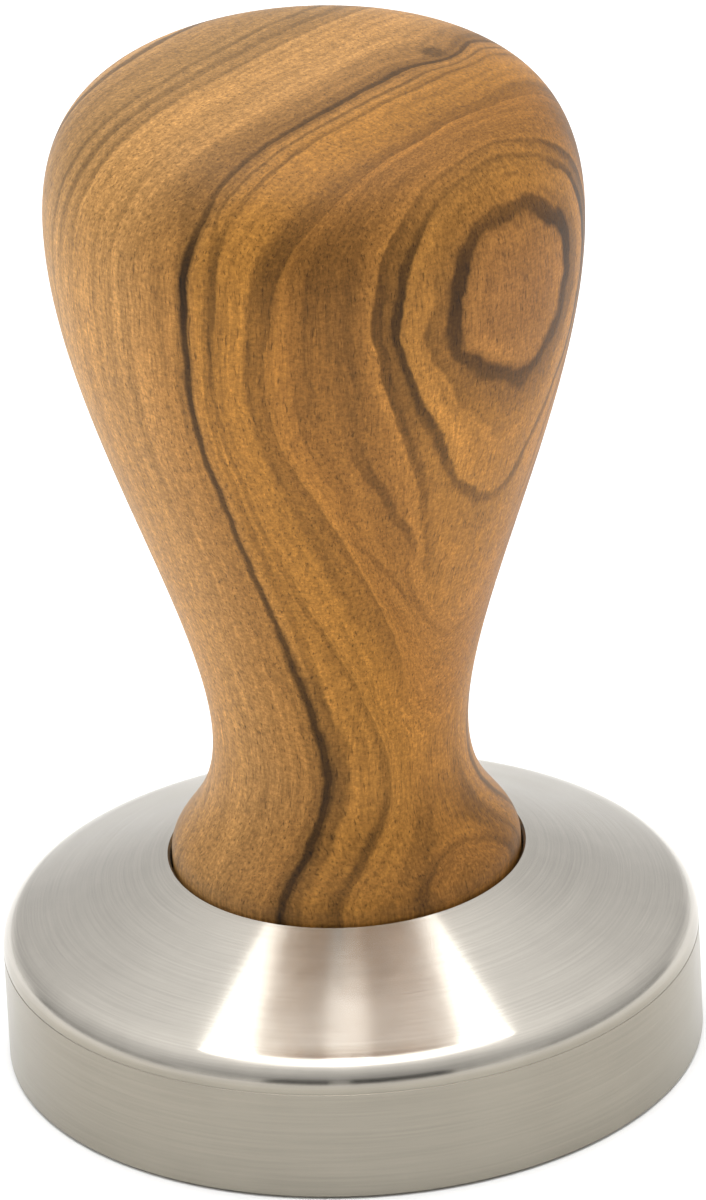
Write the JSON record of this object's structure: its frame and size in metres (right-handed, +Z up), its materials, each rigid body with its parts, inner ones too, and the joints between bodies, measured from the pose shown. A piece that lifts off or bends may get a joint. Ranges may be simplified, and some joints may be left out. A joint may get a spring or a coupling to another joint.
{
  "type": "espresso tamper",
  "caption": "Hand tamper with a wide flat steel base, stepped up by a cone to a recess, and a pear-shaped turned wooden handle that screws on.",
  "frame": {"origin": "centre of the tamping face, on the surface the tamper stands on", "axes": "+Z up along the turning axis, from the tamping face to the crown of the handle; +X and +Y are any two square directions, because the outside is round"},
  "size_m": [0.058, 0.058, 0.0885],
  "materials": {
    "base_steel": "fine turned and satin polished stainless steel",
    "screw_steel": "plain rolled stainless set screw",
    "nylon": "natural nylon, matt",
    "brass": "machined brass",
    "olive_wood": "turned olive wood, sanded fine and oiled to a satin"
  },
  "bodies": {
    "base_body": {"base": "base_steel", "stud": "screw_steel"},
    "washer_body": {"washer": "nylon"},
    "handle_body": {"handle": "olive_wood", "thread_insert": "brass"}
  },
  "joints": [
    {"name": "handle_rise", "type": "slide", "parent": "base_body", "child": "washer_body", "axis": [0, 0, 1], "range_m": [0, 0.015]},
    {"name": "handle_turn", "type": "hinge", "parent": "washer_body", "child": "handle_body", "pos_m": [0, 0, 0.0145], "axis": [0, 0, 1], "range_deg": [0, 4320]}
  ],
  "couplings": [
    {"joint": "handle_rise", "follows": "handle_turn", "m_per_rad": 0.00019894}
  ]
}
